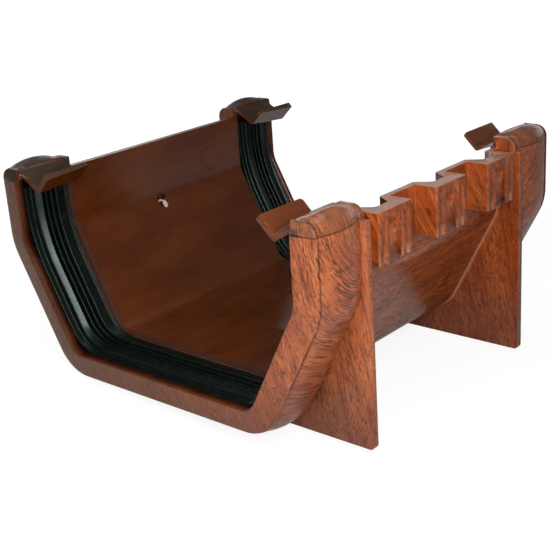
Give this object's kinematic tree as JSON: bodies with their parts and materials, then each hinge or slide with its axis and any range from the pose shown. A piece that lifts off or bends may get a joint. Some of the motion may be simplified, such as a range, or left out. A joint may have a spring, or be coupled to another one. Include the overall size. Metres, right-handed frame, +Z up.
{
  "type": "gutter union bracket",
  "caption": "Trapezoid trough bracket with a sealed bell and snap clips at each end, joining two gutter lengths and screwing to a fascia board.",
  "frame": {"origin": "middle of the bracket's length and width, at the level of the fins' bottom edges", "axes": "+X towards the fascia board, Y along the gutter, +Z up"},
  "size_m": [0.139, 0.1332, 0.0778],
  "materials": {
    "moulding": "rosewood-effect printed plastic outside, plain glossy brown inside",
    "seal_rubber": "satin black extruded rubber"
  },
  "bodies": {
    "root": {"union_body": "moulding", "near_seal": "seal_rubber", "far_seal": "seal_rubber"}
  },
  "joints": []
}
